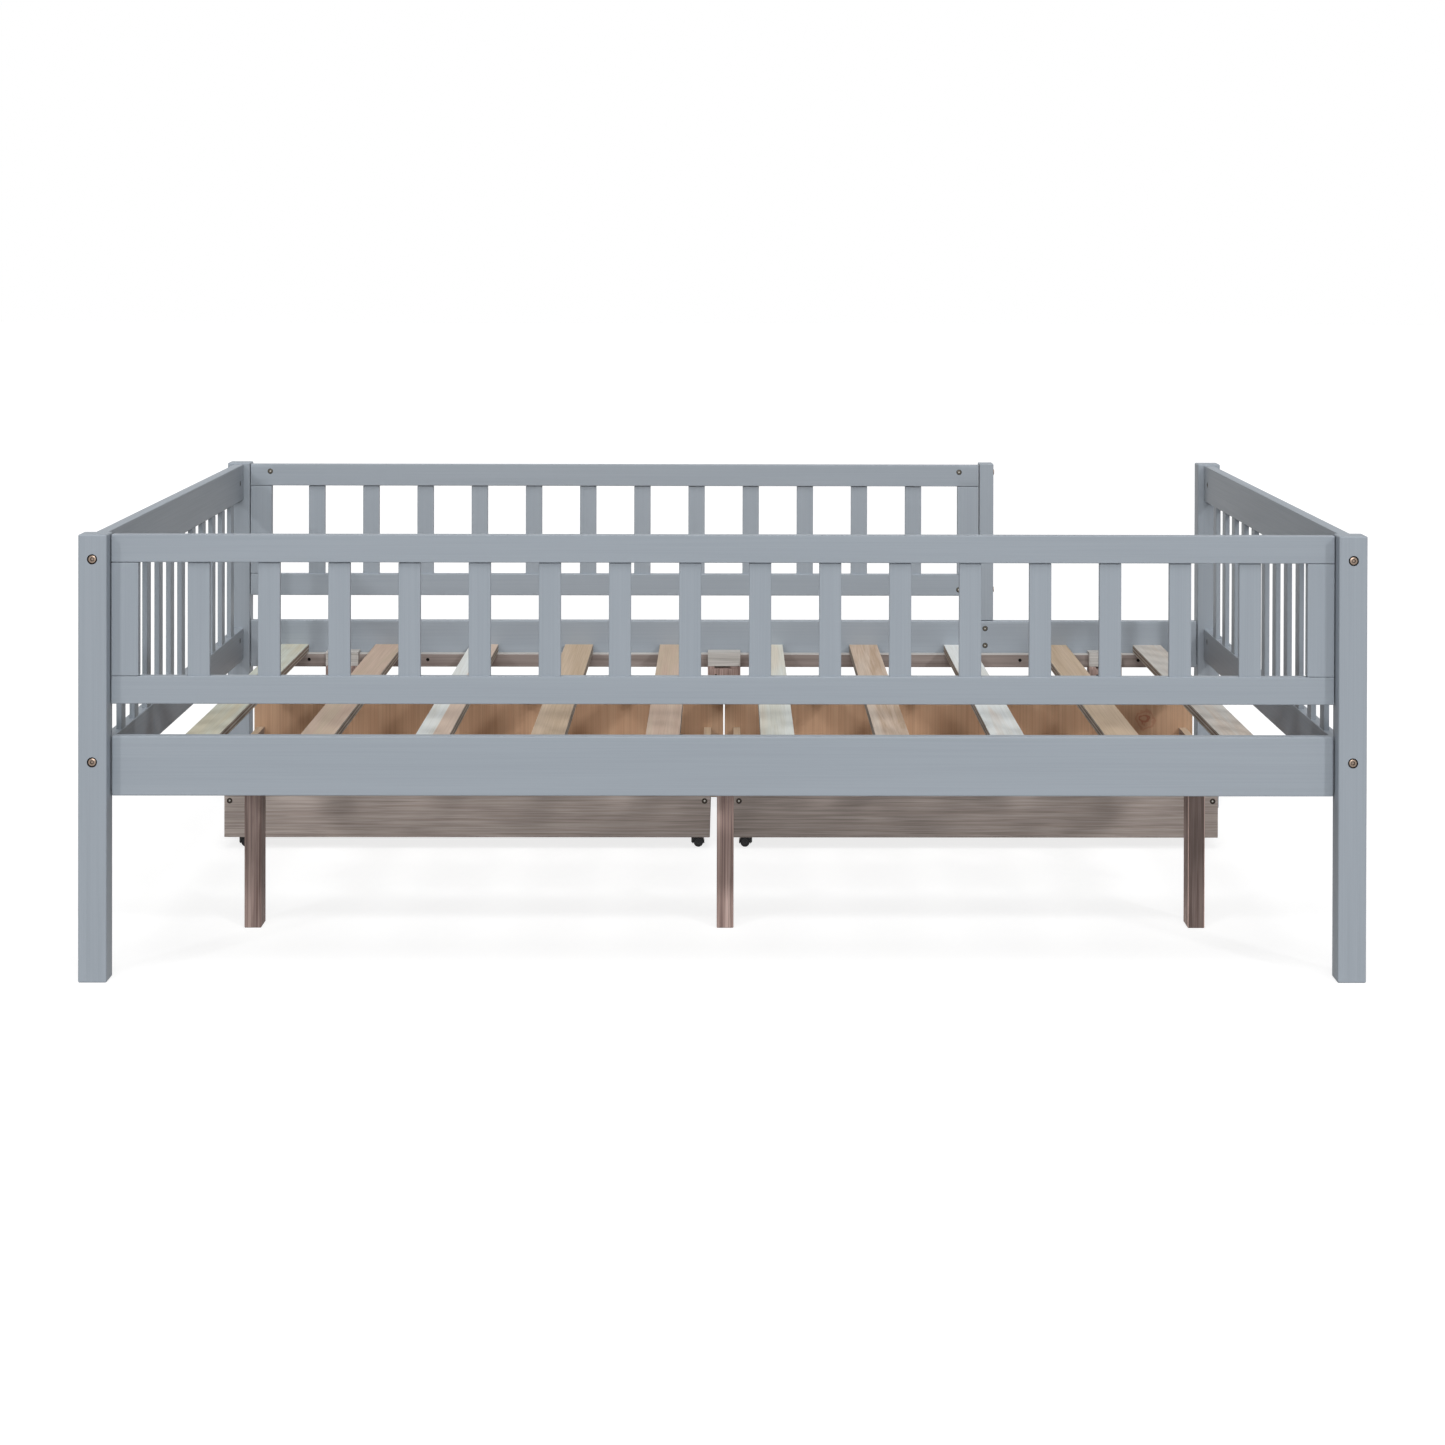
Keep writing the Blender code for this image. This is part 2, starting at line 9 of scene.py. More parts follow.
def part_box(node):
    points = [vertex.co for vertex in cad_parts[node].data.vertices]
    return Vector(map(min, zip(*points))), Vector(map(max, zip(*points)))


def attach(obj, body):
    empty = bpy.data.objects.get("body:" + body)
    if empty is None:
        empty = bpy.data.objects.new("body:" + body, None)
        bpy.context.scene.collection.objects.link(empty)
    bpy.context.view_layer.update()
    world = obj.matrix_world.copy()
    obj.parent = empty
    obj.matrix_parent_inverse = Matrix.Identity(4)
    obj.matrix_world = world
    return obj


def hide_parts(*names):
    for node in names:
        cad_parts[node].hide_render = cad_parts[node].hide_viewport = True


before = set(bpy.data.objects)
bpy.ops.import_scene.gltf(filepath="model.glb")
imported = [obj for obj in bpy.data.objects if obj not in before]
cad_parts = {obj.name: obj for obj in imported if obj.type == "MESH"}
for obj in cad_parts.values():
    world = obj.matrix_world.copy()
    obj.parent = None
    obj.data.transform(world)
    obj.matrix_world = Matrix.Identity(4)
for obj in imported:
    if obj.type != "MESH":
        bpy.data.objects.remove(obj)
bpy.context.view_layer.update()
dice = random.Random(11)
print("frame loaded:", len(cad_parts), "nodes")


# ---- camera at the photograph's place; lengths are metres and angles are degrees
camera = {
    "place": (0.0026, -5.3942, 1.1895),
    "yaw": 0.4334,
    "pitch": 0.4689,
    "roll": 0.1279,
    "lens": 74.400,
    "sensor": 36.0,
    "shift": (-0.01825, -0.32803),
    "clipEnd": 200.0,
}


def makeCamera():
    data = bpy.data.cameras.new("photoCamera")
    data.lens = camera["lens"]
    data.sensor_width = camera["sensor"]
    data.shift_x, data.shift_y = camera["shift"]
    data.clip_end = camera["clipEnd"]
    eye = bpy.data.objects.new("photoCamera", data)
    bpy.context.scene.collection.objects.link(eye)
    turn = Matrix.Rotation(math.radians(-camera["yaw"]), 4, "Z")
    tilt = Matrix.Rotation(math.radians(90 - camera["pitch"]), 4, "X")
    roll = Matrix.Rotation(math.radians(camera["roll"]), 4, "Z")
    eye.matrix_world = Matrix.Translation(camera["place"]) @ turn @ tilt @ roll
    bpy.context.scene.camera = eye


# ---- lamps and the white room
# each lamp: degrees to the right of the camera, degrees above the floor, strength, degrees across
lamps = {
    "keyLeft": (-34.0, 29.0, 0.58, 4.0),
    "keyRight": (34.0, 29.0, 0.80, 4.0),
    "frontFill": (0.0, 9.0, 0.64, 16.0),
    "overhead": (0.0, 66.0, 1.50, 30.0),
}
# lit is how strongly the room lights the bed, seen how bright it is behind the bed
room = {"white": (1.0, 1.0, 1.0, 1.0), "lit": 0.18, "seen": 1.0}


def makeLights():
    for name, (aside, height, strength, across) in lamps.items():
        lamp = bpy.data.lights.new(name, "SUN")
        lamp.energy = strength
        lamp.angle = math.radians(across)
        shine = bpy.data.objects.new(name, lamp)
        bpy.context.scene.collection.objects.link(shine)
        up = math.radians(height)
        out = math.radians(aside)
        flat = math.cos(up)
        away = Vector((math.sin(out) * flat, -math.cos(out) * flat, math.sin(up)))
        shine.matrix_world = away.to_track_quat("Z", "Y").to_matrix().to_4x4()
    world = bpy.data.worlds.new("whiteRoom")
    bpy.context.scene.world = world
    world.use_nodes = True
    tree = world.node_tree
    plain = tree.nodes["Background"]
    seen = tree.nodes.new("ShaderNodeBackground")
    for shader, strength in ((plain, room["lit"]), (seen, room["seen"])):
        shader.inputs["Color"].default_value = room["white"]
        shader.inputs["Strength"].default_value = strength
    both = mixShaders(tree, seenRays(tree), plain.outputs[0], seen.outputs[0])
    tree.links.new(both, tree.nodes["World Output"].inputs["Surface"])


def mixShaders(tree, factor, first, second):
    mix = tree.nodes.new("ShaderNodeMixShader")
    for socket, value in zip(mix.inputs, (factor, first, second)):
        tree.links.new(value, socket)
    return mix.outputs[0]


def seenRays(tree):
    # 1 for the camera's own rays and for those that metal and gloss send on
    path = tree.nodes.new("ShaderNodeLightPath")
    total = path.outputs["Is Camera Ray"]
    for name in ("Is Glossy Ray", "Is Transmission Ray"):
        larger = tree.nodes.new("ShaderNodeMath")
        larger.operation = "MAXIMUM"
        tree.links.new(total, larger.inputs[0])
        tree.links.new(path.outputs[name], larger.inputs[1])
        total = larger.outputs[0]
    return total


# ---- floor: seen is its grey for the camera, bounce its grey for the light that reaches the bed
# from below, and glow is added for the camera only
floor = {"half": 30.0, "seen": 0.30, "bounce": 0.46, "glow": 0.80, "rough": 0.9, "gloss": 0.1}


def makeFloor():
    bm = bmesh.new()
    bmesh.ops.create_grid(bm, x_segments=1, y_segments=1, size=floor["half"])
    mesh = bpy.data.meshes.new("studioFloor")
    bm.to_mesh(mesh)
    bm.free()
    ground = bpy.data.objects.new("studioFloor", mesh)
    bpy.context.scene.collection.objects.link(ground)
    paint = bpy.data.materials.new("paleFloor")
    paint.use_nodes = True
    tree = paint.node_tree
    shader = tree.nodes["Principled BSDF"]
    tones = [(floor[key],) * 3 for key in ("bounce", "seen")]
    tree.links.new(mixColour(tree, seenRays(tree), *tones), shader.inputs["Base Color"])
    shader.inputs["Roughness"].default_value = floor["rough"]
    shader.inputs["Specular IOR Level"].default_value = floor["gloss"]
    glow = tree.nodes.new("ShaderNodeEmission")
    glow.inputs["Strength"].default_value = floor["glow"]
    dark = tree.nodes.new("ShaderNodeEmission")
    dark.inputs["Strength"].default_value = 0.0
    light = mixShaders(tree, seenRays(tree), dark.outputs[0], glow.outputs[0])
    both = tree.nodes.new("ShaderNodeAddShader")
    tree.links.new(shader.outputs[0], both.inputs[0])
    tree.links.new(light, both.inputs[1])
    tree.links.new(both.outputs[0], tree.nodes["Material Output"].inputs["Surface"])
    mesh.materials.append(paint)


# ---- wood finishes: a wood takes from usualWood what it doesn't give itself
# streaks and lines are (along, across) per metre, measured with the grain
usualWood = {
    "streaks": (1.6, 46.0), "wave": 0.6, "lines": (5.0, 520.0), "lineDepth": 0.10,
    "rough": (0.58, 0.74), "gloss": 0.2, "bump": 0.00012,
}
# base and dark are the ends of a wood's colour, patch is a second colour in broad areas
woods = {
    "greyPaint": {
        "base": (0.312, 0.348, 0.390), "dark": (0.298, 0.334, 0.375),
        "streaks": (1.0, 26.0), "wave": 0.2, "lines": (3.0, 420.0), "lineDepth": 0.035,
        "rough": (0.48, 0.58), "gloss": 0.35, "bump": 0.00006,
    },
    "greenPly": {
        "base": (0.61, 0.64, 0.57), "dark": (0.54, 0.54, 0.45),
        "patch": (0.58, 0.53, 0.40), "patches": 0.5,
    },
    "palePly": {
        "base": (0.72, 0.745, 0.71), "dark": (0.64, 0.635, 0.56),
        "patch": (0.67, 0.61, 0.51), "patches": 0.4,
    },
    "peachPly": {
        "base": (0.61, 0.47, 0.375), "dark": (0.53, 0.39, 0.305),
        "patch": (0.55, 0.44, 0.33), "patches": 0.4, "wave": 0.5,
    },
    "whitePly": {
        "base": (0.77, 0.80, 0.80), "dark": (0.70, 0.71, 0.68),
        "patch": (0.71, 0.64, 0.57), "patches": 0.1,
        "streaks": (1.6, 40.0), "wave": 0.8, "lineDepth": 0.08,
    },
    "halfPly": {
        "base": (0.76, 0.79, 0.78), "dark": (0.68, 0.68, 0.64),
        "join": (-0.487, (0.61, 0.48, 0.39)),
        "streaks": (1.6, 40.0), "wave": 0.8, "lineDepth": 0.08,
    },
    "tanPly": {
        "base": (0.565, 0.440, 0.315), "dark": (0.485, 0.362, 0.252),
        "patch": (0.60, 0.47, 0.35), "patches": 0.4, "wave": 0.5, "lineDepth": 0.12,
    },
    "orangePly": {
        "base": (0.63, 0.50, 0.40), "dark": (0.47, 0.34, 0.24),
        "patch": (0.66, 0.56, 0.47), "patches": 0.3,
        "streaks": (2.4, 60.0), "wave": 1.8, "lines": (6.0, 520.0), "lineDepth": 0.12,
    },
    "mistPly": {
        "base": (0.590, 0.575, 0.540), "dark": (0.51, 0.47, 0.43),
        "patch": (0.57, 0.49, 0.42), "patches": 0.5,
    },
    "legWood": {
        "base": (0.415, 0.312, 0.280), "dark": (0.205, 0.138, 0.122),
        "streaks": (2.6, 130.0), "wave": 1.4, "lines": (7.0, 620.0), "lineDepth": 0.38,
    },
    "cleatWood": {
        "base": (0.330, 0.282, 0.262), "dark": (0.230, 0.188, 0.172),
        "streaks": (1.8, 80.0), "wave": 0.5, "lines": (5.0, 620.0), "lineDepth": 0.18,
    },
    "paleWood": {
        "base": (0.570, 0.552, 0.530), "dark": (0.460, 0.438, 0.412),
        "streaks": (3.0, 220.0), "lines": (10.0, 700.0), "lineDepth": 0.30,
    },
    "drawerTan": {
        "base": (0.535, 0.348, 0.226), "dark": (0.475, 0.296, 0.188),
        "streaks": (1.4, 60.0), "wave": 0.4, "lines": (4.0, 520.0), "lineDepth": 0.14,
    },
    "drawerBoard": {
        "base": (0.440, 0.380, 0.348), "dark": (0.318, 0.264, 0.238),
        "streaks": (3.5, 260.0), "wave": 0.25, "lines": (10.0, 480.0), "lineDepth": 0.26,
    },
}
# how every wood's streaks, fine lines and broad patches are drawn; a band is the part of
# the noise over which one tone turns into the next
pattern = {
    "noiseRough": 0.6, "streakDetail": 4.0, "streakBand": (0.34, 0.64),
    "lineDetail": 2.0, "lineShift": 3.7, "lineBand": (0.34, 0.58), "roughBand": (0.3, 0.7),
    "patchSize": (1.3, 22.0), "patchDetail": 2.0, "patchWave": 0.5, "patchShift": 8.1,
    "patchBand": (0.62, 0.72), "patchGrowth": (0.4, 0.3), "patchMost": 0.85, "bump": 0.6,
}
made = {}  # the finished materials by name


def addNode(tree, kind, **settings):
    node = tree.nodes.new(kind)
    for name, value in settings.items():
        if hasattr(node, name):
            setattr(node, name, value)
        else:
            node.inputs[name].default_value = value
    return node


def stretchedNoise(tree, place, size, detail, wave=0.0, shift=0.0):
    # noise drawn out along the first axis of the grain coordinate
    along, across = size
    scaled = addNode(tree, "ShaderNodeMapping", Scale=(along, across, across),
                     Location=(shift, shift, shift))
    noise = addNode(tree, "ShaderNodeTexNoise", Scale=1.0, Detail=detail,
                    Roughness=pattern["noiseRough"], Distortion=wave)
    tree.links.new(place, scaled.inputs["Vector"])
    tree.links.new(scaled.outputs["Vector"], noise.inputs["Vector"])
    return noise.outputs["Fac"]


def ramp(tree, value, *stops):
    # a stop is its place and a grey or a colour
    node = tree.nodes.new("ShaderNodeValToRGB")
    band = node.color_ramp
    while len(band.elements) < len(stops):
        band.elements.new(0.5)
    for element, (place, colour) in zip(band.elements, stops):
        element.position = place
        grey = isinstance(colour, float)
        element.color = (colour, colour, colour, 1.0) if grey else (*colour, 1.0)
    tree.links.new(value, node.inputs["Fac"])
    return node.outputs["Color"]


def mixColour(tree, factor, first, second, blend="MIX"):
    node = addNode(tree, "ShaderNodeMix", data_type="RGBA", blend_type=blend)
    sockets = [s for s in node.inputs if s.enabled]
    for socket, value in zip(sockets, (factor, first, second)):
        if isinstance(value, float):
            socket.default_value = value
        elif isinstance(value, tuple):
            socket.default_value = (*value, 1.0)
        else:
            tree.links.new(value, socket)
    return [s for s in node.outputs if s.enabled][0]


def multiplyColour(tree, first, second):
    return mixColour(tree, 1.0, first, second, "MULTIPLY")


def calculate(tree, operation, *values):
    node = addNode(tree, "ShaderNodeMath", operation=operation)
    for socket, value in zip(node.inputs, values):
        if isinstance(value, float):
            socket.default_value = value
        else:
            tree.links.new(value, socket)
    return node.outputs[0]


def readAttribute(tree, name, output):
    return addNode(tree, "ShaderNodeAttribute", attribute_name=name).outputs[output]


def objectPlace(tree):
    return tree.nodes.new("ShaderNodeTexCoord").outputs["Object"]


def splitPlace(tree, axis):
    split = tree.nodes.new("ShaderNodeSeparateXYZ")
    tree.links.new(objectPlace(tree), split.inputs[0])
    return split.outputs[axis]


def startMaterial(name):
    material = bpy.data.materials.new(name)
    material.use_nodes = True
    made[name] = material
    return material, material.node_tree, material.node_tree.nodes["Principled BSDF"]


def addBump(tree, shader, height, strength, distance):
    bump = addNode(tree, "ShaderNodeBump", Strength=strength, Distance=distance)
    tree.links.new(height, bump.inputs["Height"])
    tree.links.new(bump.outputs["Normal"], shader.inputs["Normal"])


# one knot on the inner face of the right drawer's front; fade is where its colour ends,
# ringTones how much of the colour lies between its rings and on them
knot = {
    "centre": (0.8577, 0.680, 0.1815), "size": 0.026, "rings": 17.0,
    "colour": (0.34, 0.125, 0.075), "wobble": 60.0, "wobbleDetail": 2.0,
    "fade": (0.48, 0.72), "ringBand": (0.0, 0.8), "ringTones": (0.15, 0.85),
}


def knotColour(tree, colour):
    place = objectPlace(tree)
    wobble = addNode(tree, "ShaderNodeTexNoise", Scale=knot["wobble"], Detail=knot["wobbleDetail"])
    tree.links.new(place, wobble.inputs["Vector"])
    apart = addNode(tree, "ShaderNodeVectorMath", operation="DISTANCE")
    tree.links.new(place, apart.inputs[0])
    apart.inputs[1].default_value = knot["centre"]
    far = calculate(tree, "MULTIPLY_ADD", apart.outputs["Value"], 1.0 / knot["size"],
                    wobble.outputs["Fac"])
    inside, outside = knot["fade"]
    near = ramp(tree, calculate(tree, "MULTIPLY", far, 0.5), (inside, 1.0), (outside, 0.0))
    rings = calculate(tree, "SINE", calculate(tree, "MULTIPLY", far, knot["rings"]))
    ringStops = zip(knot["ringBand"], knot["ringTones"])
    amount = calculate(tree, "MULTIPLY", near, ramp(tree, rings, *ringStops))
    return mixColour(tree, amount, colour, knot["colour"])


def patchAmount(tree, grain, patches):
    # more patches start lower in the noise
    broad = stretchedNoise(tree, grain, pattern["patchSize"], pattern["patchDetail"],
                           pattern["patchWave"], pattern["patchShift"])
    low, high = [edge - patches * growth
                 for edge, growth in zip(pattern["patchBand"], pattern["patchGrowth"])]
    return ramp(tree, broad, (low, 0.0), (high, pattern["patchMost"]))


def woodFinish(name):
    # soft streaks and fine lines along the grain; the lines also steer roughness and bump
    if name in made:
        return made[name]
    look = {**usualWood, **woods[name]}
    material, tree, shader = startMaterial(name)
    grain = readAttribute(tree, "grain", "Vector")
    tone = readAttribute(tree, "tone", "Fac")
    streaks = stretchedNoise(tree, grain, look["streaks"], pattern["streakDetail"], look["wave"])
    lines = stretchedNoise(tree, grain, look["lines"], pattern["lineDetail"],
                           shift=pattern["lineShift"])
    colour = ramp(tree, streaks, *zip(pattern["streakBand"], (look["dark"], look["base"])))
    if "patch" in look:
        amount = patchAmount(tree, grain, look["patches"])
        colour = mixColour(tree, amount, colour, look["patch"])
    if "join" in look:
        # two veneers side by side
        middle, second = look["join"]
        side = calculate(tree, "GREATER_THAN", splitPlace(tree, "X"), middle)
        colour = mixColour(tree, side, colour, second)
    lineTones = (1.0 - look["lineDepth"], 1.0)
    colour = multiplyColour(tree, colour, ramp(tree, lines, *zip(pattern["lineBand"], lineTones)))
    if name == "drawerTan":
        colour = knotColour(tree, colour)
    # each board's tone, which on the legs and the drawers' backs also holds painted light and shade
    colour = multiplyColour(tree, colour, tone)
    tree.links.new(colour, shader.inputs["Base Color"])
    smooth, coarse = look["rough"]
    rough = ramp(tree, lines, *zip(pattern["roughBand"], (coarse, smooth)))
    tree.links.new(rough, shader.inputs["Roughness"])
    shader.inputs["Specular IOR Level"].default_value = look["gloss"]
    addBump(tree, shader, lines, pattern["bump"], look["bump"])
    return material


# a bed slat's edge: where its plies change from one shade to the other, from the bottom up
plies = {
    "low": 0.318, "thick": 0.016, "pale": (0.50, 0.46, 0.40), "dark": (0.27, 0.20, 0.16),
    "changes": ((0.17, 0.22), (0.38, 0.43), (0.57, 0.62), (0.78, 0.83)),
    "flecks": (60.0, 900.0), "fleckDetail": 2.0, "fleckBand": (0.35, 0.6),
    "fleckTones": (0.82, 1.0), "roughBand": (0.3, 0.7), "rough": (0.85, 0.7),
    "gloss": 0.15, "bump": 0.5, "bumpHigh": 0.00015,
}


def plyEdge():
    # five glued layers, light and dark in turn, seen on the slats' edges and ends
    if "plyEdge" in made:
        return made["plyEdge"]
    material, tree, shader = startMaterial("plyEdge")
    height = addNode(tree, "ShaderNodeMapRange")
    tree.links.new(splitPlace(tree, "Z"), height.inputs["Value"])
    height.inputs["From Min"].default_value = plies["low"]
    height.inputs["From Max"].default_value = plies["low"] + plies["thick"]
    shade, other = plies["pale"], plies["dark"]
    stops = [(0.0, shade)]
    for below, above in plies["changes"]:
        stops += [(below, shade), (above, other)]
        shade, other = other, shade
    stops.append((1.0, shade))
    layers = ramp(tree, height.outputs["Result"], *stops)
    grain = readAttribute(tree, "grain", "Vector")
    flecks = stretchedNoise(tree, grain, plies["flecks"], plies["fleckDetail"])
    fleckTone = ramp(tree, flecks, *zip(plies["fleckBand"], plies["fleckTones"]))
    tree.links.new(multiplyColour(tree, layers, fleckTone), shader.inputs["Base Color"])
    rough = ramp(tree, flecks, *zip(plies["roughBand"], plies["rough"]))
    tree.links.new(rough, shader.inputs["Roughness"])
    shader.inputs["Specular IOR Level"].default_value = plies["gloss"]
    addBump(tree, shader, flecks, plies["bump"], plies["bumpHigh"])
    return material


# ---- metals, painted shade for bores and for the heads' sockets, a painted glint, and the casters' plastic
# each: colour, roughness, metal, how much darker its mottles are, and their number per metre
plains = {
    "bronzeSteel": ((0.29, 0.22, 0.175), 0.26, 1.0, 0.25, 700.0),
    # painted shade: a near-black bronze for the sockets' edges and the screws' rims
    "bronzeShade": ((0.050, 0.038, 0.030), 0.5, 0.3, 0.3, 700.0),
    "dullSteel": ((0.115, 0.105, 0.085), 0.42, 0.3, 0.20, 800.0),
    # painted glint: a pale steel for the bright middle of the screws' and nuts' sockets
    "zincPaintedGlint": ((0.56, 0.54, 0.50), 0.42, 0.2, 0.15, 900.0),
    "plateSteel": ((0.20, 0.21, 0.23), 0.45, 1.0, 0.2, 500.0),
    # near-black painted shade laid on the walls and bottoms of bores and holes
    "paintedHoleShade": ((0.020, 0.017, 0.015), 0.85, 0.0, 0.4, 900.0),
    "blackNylon": ((0.011, 0.011, 0.012), 0.42, 0.0, 0.3, 800.0),
}
mottles = {
    "detail": 3.0, "noiseRough": 0.6, "band": (0.35, 0.65), "roughBand": (0.3, 0.7),
    "roughSpread": 0.06, "gloss": 0.3, "bump": 0.4, "bumpHigh": 0.00003,
}


def plainFinish(name):
    if name in made:
        return made[name]
    bright, rough, metal, mottle, scale = plains[name]
    material, tree, shader = startMaterial(name)
    shader.inputs["Metallic"].default_value = metal
    shader.inputs["Specular IOR Level"].default_value = mottles["gloss"]
    noise = addNode(tree, "ShaderNodeTexNoise", Scale=scale, Detail=mottles["detail"],
                    Roughness=mottles["noiseRough"])
    tree.links.new(objectPlace(tree), noise.inputs["Vector"])
    grains = noise.outputs["Fac"]
    dark = tuple(c * (1.0 - mottle) for c in bright)
    colour = ramp(tree, grains, *zip(mottles["band"], (dark, bright)))
    tree.links.new(colour, shader.inputs["Base Color"])
    ends = (rough + mottles["roughSpread"], rough - mottles["roughSpread"])
    spread = ramp(tree, grains, *zip(mottles["roughBand"], ends))
    tree.links.new(spread, shader.inputs["Roughness"])
    addBump(tree, shader, grains, mottles["bump"], mottles["bumpHigh"])
    return material


# ---- modelling helpers
def startMesh():
    bm = bmesh.new()
    bm.verts.layers.float_vector.new("grain")
    bm.verts.layers.float.new("tone")
    return bm


def unique(parts):
    # each part once, in the given order
    return list(dict.fromkeys(parts))


def edgesOf(verts):
    return unique(e for v in verts for e in v.link_edges)


def easeEdges(bm, edges, ease, segments):
    bmesh.ops.bevel(bm, geom=edges, offset=ease, segments=segments, affect="EDGES",
                    profile=0.5, material=-1)


def addBoard(bm, low, high, run, ease, segments=3, tone=1.0):
    # a board with eased edges, whose grain runs along axis run (0, 1 or 2)
    before = set(bm.verts)
    size = Vector(high) - Vector(low)
    middle = (Vector(high) + Vector(low)) / 2
    place = Matrix.Translation(middle) @ Matrix.Diagonal((*size, 1.0))
    cube = bmesh.ops.create_cube(bm, size=1.0, matrix=place)
    easeEdges(bm, edgesOf(cube["verts"]), ease, segments)
    markGrain(bm, [v for v in bm.verts if v not in before], middle, run, tone)


grainReach = 9  # metres by which a board's place in the pattern may lie to either side


def markGrain(bm, verts, middle, run, tone=1.0):
    # each board reads its own place in the pattern, so no two look alike
    grain = bm.verts.layers.float_vector["grain"]
    shade = bm.verts.layers.float["tone"]
    shift = Vector([dice.uniform(-grainReach, grainReach) for axis in (0, 1, 2)])
    others = [axis for axis in (0, 1, 2) if axis != run]
    for v in verts:
        local = v.co - middle
        v[grain] = Vector((local[run], local[others[0]], local[others[1]])) + shift
        v[shade] = tone


def addOutline(bm, outline, x0, x1, run, ease):
    # a board cut to an outline in Y and Z, from x0 to x1
    before = set(bm.verts)
    face = bm.faces.new([bm.verts.new((x0, y, z)) for y, z in outline])
    grown = bmesh.ops.extrude_face_region(bm, geom=[face], use_keep_orig=True)
    moved = [v for v in grown["geom"] if isinstance(v, bmesh.types.BMVert)]
    bmesh.ops.translate(bm, verts=moved, vec=(x1 - x0, 0, 0))
    fresh = [v for v in bm.verts if v not in before]
    bmesh.ops.recalc_face_normals(bm, faces=unique(f for v in fresh for f in v.link_faces))
    easeEdges(bm, edgesOf(fresh), ease, 3)
    fresh = [v for v in bm.verts if v not in before]
    middle = sum((v.co for v in fresh), Vector()) / len(fresh)
    markGrain(bm, fresh, middle, run)


# how alike two faces' directions and planes are when they count as one flat face; how far
# inside a pocket's border its patch is looked for; the square cut round a bore, the bore's
# steps, and how level a face may be and still count as its wall
pocket = {
    "aligned": 0.999, "apart": 0.00001, "inside": 0.98,
    "boreMargin": 0.0008, "boreSteps": 24, "wallLevel": 0.3,
}


def acrossAxes(normal):
    return [axis for axis in (0, 1, 2) if abs(normal[axis]) < 0.5]


def facesNear(bm, centre, normal, half):
    # the flat faces that share a point's plane and reach into a square round it
    found = []
    for face in bm.faces:
        offPlane = abs((face.verts[0].co - centre).dot(normal))
        if face.normal.dot(normal) < pocket["aligned"] or offPlane > pocket["apart"]:
            continue
        apart = [v.co - centre for v in face.verts]
        if all(min(a[axis] for a in apart) < half[axis] and max(a[axis] for a in apart) > -half[axis]
               for axis in acrossAxes(normal)):
            found.append(face)
    return found


def cutPocket(bm, centre, normal, half, deep, radius=None):
    # a pocket sunk into a flat face: a rectangle, or a round bore if a radius is given
    centre, normal = Vector(centre), Vector(normal)
    for axis in acrossAxes(normal):
        for side in (-1, 1):
            way = Vector((0, 0, 0))
            way[axis] = side
            faces = facesNear(bm, centre, normal, half)
            edges = unique(e for f in faces for e in f.edges)
            verts = unique(v for f in faces for v in f.verts)
            bmesh.ops.bisect_plane(bm, geom=faces + edges + verts,
                                   plane_co=centre + way * half[axis], plane_no=way)
    patch = facesNear(bm, centre, normal, [h * pocket["inside"] for h in half])
    border = unique(e for f in patch for e in f.edges)
    rim = [e for e in border if sum(f in patch for f in e.link_faces) == 1]
    bmesh.ops.delete(bm, geom=patch, context="FACES")
    if radius:
        ring = bmesh.ops.create_circle(bm, segments=pocket["boreSteps"], radius=radius,
                                       matrix=standing(centre, normal))
        edges = edgesOf(ring["verts"])
        bmesh.ops.triangle_fill(bm, edges=rim + edges, normal=normal, use_beauty=True)
        rim = edges
    return sinkLoop(bm, rim, normal * -deep)


def cutBore(bm, place, normal, radius, deep, paintedShadeIndex):
    # the bore's wall and bottom take the piece's material of that number: a near-black painted shade
    reach = radius + pocket["boreMargin"]
    before = set(bm.faces)
    bottom = cutPocket(bm, place, normal, (reach, reach, reach), deep, radius)
    away = Vector(normal)
    for face in bm.faces:
        isWall = abs(face.normal.dot(away)) < pocket["wallLevel"]
        if face not in before and (face in bottom or isWall):
            face.material_index = paintedShadeIndex


def sinkLoop(bm, edges, move):
    # carries a closed loop of edges along and closes it there
    wall = bmesh.ops.extrude_edge_only(bm, edges=edges)
    far = [v for v in wall["geom"] if isinstance(v, bmesh.types.BMVert)]
    bmesh.ops.translate(bm, verts=far, vec=move)
    newEdges = [e for e in wall["geom"] if isinstance(e, bmesh.types.BMEdge)]
    loop = [e for e in newEdges if all(v in far for v in e.verts)]
    return bmesh.ops.edgeloop_fill(bm, edges=loop)["faces"]


def standing(place, normal):
    return Matrix.Translation(place) @ Vector(normal).to_track_quat("Z", "Y").to_matrix().to_4x4()


def finishPiece(bm, name, materials, body, nodes=(), sharp=40, even=True):
    # edges steeper than sharp degrees stay crisp
    bmesh.ops.recalc_face_normals(bm, faces=bm.faces[:])
    mesh = bpy.data.meshes.new(name)
    bm.to_mesh(mesh)
    bm.free()
    for material in materials:
        mesh.materials.append(material)
    mesh.shade_smooth()
    mesh.set_sharp_from_angle(angle=math.radians(sharp))
    piece = bpy.data.objects.new(name, mesh)
    bpy.context.scene.collection.objects.link(piece)
    if even:
        flatter = piece.modifiers.new("evenFaces", "WEIGHTED_NORMAL")
        flatter.keep_sharp = True
    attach(piece, body)
    if nodes:
        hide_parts(*nodes)


def finishPainted(bm, name, node):
    # a grey piece of the frame, whose bores take a near-black painted shade
    finishes = [woodFinish("greyPaint"), plainFinish("paintedHoleShade")]
    finishPiece(bm, name, finishes, "frame", [node])


